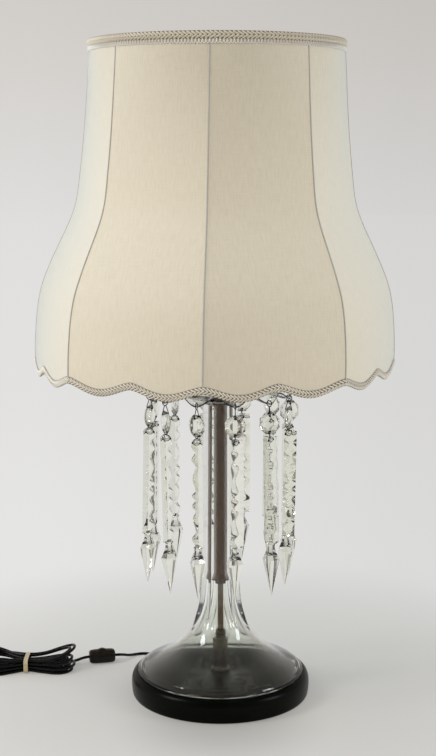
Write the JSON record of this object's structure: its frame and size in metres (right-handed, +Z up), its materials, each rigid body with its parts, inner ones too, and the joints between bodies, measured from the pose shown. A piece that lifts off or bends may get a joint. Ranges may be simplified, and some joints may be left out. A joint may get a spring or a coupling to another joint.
{
  "type": "crystal table lamp",
  "caption": "Crystal table lamp with a clear panel-cut column on a black base, a glass dish hung with notched prism drops, a scalloped bell shade in fabric and a tied flex with in-line switch",
  "frame": {"origin": "centre of the underside of the felt pad, on the table", "axes": "+Z is up, -Y is the front that the picture shows, +X is to the right seen from the front"},
  "size_m": [0.5419, 0.4046, 0.7373],
  "materials": {
    "felt": "pressed felt",
    "black_wood": "turned wood, black high-gloss lacquer",
    "zinc_steel": "zinc-plated steel",
    "nickel": "aged nickel plating",
    "cut_glass": "clear lead glass, cut and polished",
    "black_rubber": "black rubber",
    "old_brass": "aged brass",
    "phenolic": "black moulded phenolic",
    "bulb_glass": "frosted bulb glass",
    "shade_cloth": "slubbed silk-like fabric, ecru",
    "lining_cloth": "thin white lining",
    "frame_wire": "tinned steel wire",
    "braid": "beige gimp braid",
    "flex": "round black flex",
    "bakelite": "dark brown moulded resin",
    "band": "beige plastic tie"
  },
  "bodies": {
    "lamp": {"felt_pad": "felt", "wood_base": "black_wood", "base_washer": "zinc_steel", "base_lock_nut": "zinc_steel", "lamp_pipe": "nickel", "base_collar": "nickel", "glass_body": "cut_glass", "centring_washer": "black_rubber", "column_cap": "nickel", "bobeche": "cut_glass", "bobeche_neck": "nickel", "harp_saddle": "old_brass", "harp": "old_brass", "socket_cap": "old_brass", "socket_shell": "old_brass", "socket_core": "phenolic", "supply_lead": "flex", "cord_bushing": "black_rubber", "cord_lead": "flex", "switch_base": "bakelite", "switch_cover": "bakelite", "cord_hank": "flex", "cord_tie": "band", "plug": "bakelite"},
    "bulb": {"bulb": "bulb_glass"},
    "harp_sleeve_left": {"harp_sleeve_left": "old_brass"},
    "harp_sleeve_right": {"harp_sleeve_right": "old_brass"},
    "shade": {"shade_cover": "shade_cloth", "shade_lining": "lining_cloth", "shade_frame": "frame_wire", "top_gimp": "braid", "bottom_gimp": "braid", "shade_spider": "old_brass"},
    "finial": {"finial": "old_brass"},
    "switch_dial": {"switch_dial": "bakelite"},
    "drop_01": {"crystal_button_01": "cut_glass", "prism_01": "cut_glass"},
    "drop_02": {"crystal_button_02": "cut_glass", "prism_02": "cut_glass"},
    "drop_03": {"crystal_button_03": "cut_glass", "prism_03": "cut_glass"},
    "drop_04": {"crystal_button_04": "cut_glass", "prism_04": "cut_glass"},
    "drop_05": {"crystal_button_05": "cut_glass", "prism_05": "cut_glass"},
    "drop_06": {"crystal_button_06": "cut_glass", "prism_06": "cut_glass"},
    "drop_07": {"crystal_button_07": "cut_glass", "prism_07": "cut_glass"},
    "drop_08": {"crystal_button_08": "cut_glass", "prism_08": "cut_glass"},
    "drop_09": {"crystal_button_09": "cut_glass", "prism_09": "cut_glass"},
    "drop_10": {"crystal_button_10": "cut_glass", "prism_10": "cut_glass"},
    "drop_11": {"crystal_button_11": "cut_glass", "prism_11": "cut_glass"},
    "drop_12": {"crystal_button_12": "cut_glass", "prism_12": "cut_glass"}
  },
  "joints": [
    {"name": "switch_turn", "type": "hinge", "parent": "lamp", "child": "switch_dial", "pos_m": [-0.1441, 0.0877, 0.0103], "axis": [-0.2079, 0.9781, 0], "continuous": true},
    {"name": "bulb_turn", "type": "hinge", "parent": "lamp", "child": "bulb", "pos_m": [0, 0, 0.435], "axis": [0, 0, 1], "continuous": true},
    {"name": "sleeve_left_lift", "type": "slide", "parent": "lamp", "child": "harp_sleeve_left", "axis": [0, 0, 1], "range_m": [0, 0.012]},
    {"name": "sleeve_right_lift", "type": "slide", "parent": "lamp", "child": "harp_sleeve_right", "axis": [0, 0, 1], "range_m": [0, 0.012]},
    {"name": "shade_turn", "type": "hinge", "parent": "lamp", "child": "shade", "pos_m": [0, 0, 0.7123], "axis": [0, 0, 1], "continuous": true},
    {"name": "finial_turn", "type": "hinge", "parent": "lamp", "child": "finial", "pos_m": [0, 0, 0.7166], "axis": [0, 0, 1], "continuous": true},
    {"name": "drop_01_swing", "type": "hinge", "parent": "lamp", "child": "drop_01", "pos_m": [0.01597, -0.07849, 0.3477], "axis": [0.9799, 0.1994, 0], "range_deg": [-15, 8]},
    {"name": "drop_02_swing", "type": "hinge", "parent": "lamp", "child": "drop_02", "pos_m": [0.05308, -0.05999, 0.3477], "axis": [0.749, 0.6626, 0], "range_deg": [-15, 8]},
    {"name": "drop_03_swing", "type": "hinge", "parent": "lamp", "child": "drop_03", "pos_m": [0.07596, -0.02542, 0.3477], "axis": [0.3173, 0.9483, 0], "range_deg": [-15, 8]},
    {"name": "drop_04_swing", "type": "hinge", "parent": "lamp", "child": "drop_04", "pos_m": [0.07849, 0.01597, 0.3477], "axis": [-0.1994, 0.9799, 0], "range_deg": [-15, 8]},
    {"name": "drop_05_swing", "type": "hinge", "parent": "lamp", "child": "drop_05", "pos_m": [0.05999, 0.05308, 0.3477], "axis": [-0.6626, 0.749, 0], "range_deg": [-15, 8]},
    {"name": "drop_06_swing", "type": "hinge", "parent": "lamp", "child": "drop_06", "pos_m": [0.02542, 0.07596, 0.3477], "axis": [-0.9483, 0.3173, 0], "range_deg": [-15, 8]},
    {"name": "drop_07_swing", "type": "hinge", "parent": "lamp", "child": "drop_07", "pos_m": [-0.01597, 0.07849, 0.3477], "axis": [-0.9799, -0.1994, 0], "range_deg": [-15, 8]},
    {"name": "drop_08_swing", "type": "hinge", "parent": "lamp", "child": "drop_08", "pos_m": [-0.05308, 0.05999, 0.3477], "axis": [-0.749, -0.6626, 0], "range_deg": [-15, 8]},
    {"name": "drop_09_swing", "type": "hinge", "parent": "lamp", "child": "drop_09", "pos_m": [-0.07596, 0.02542, 0.3477], "axis": [-0.3173, -0.9483, 0], "range_deg": [-15, 8]},
    {"name": "drop_10_swing", "type": "hinge", "parent": "lamp", "child": "drop_10", "pos_m": [-0.07849, -0.01597, 0.3477], "axis": [0.1994, -0.9799, 0], "range_deg": [-15, 8]},
    {"name": "drop_11_swing", "type": "hinge", "parent": "lamp", "child": "drop_11", "pos_m": [-0.05999, -0.05308, 0.3477], "axis": [0.6626, -0.749, 0], "range_deg": [-15, 8]},
    {"name": "drop_12_swing", "type": "hinge", "parent": "lamp", "child": "drop_12", "pos_m": [-0.02542, -0.07596, 0.3477], "axis": [0.9483, -0.3173, 0], "range_deg": [-15, 8]}
  ]
}
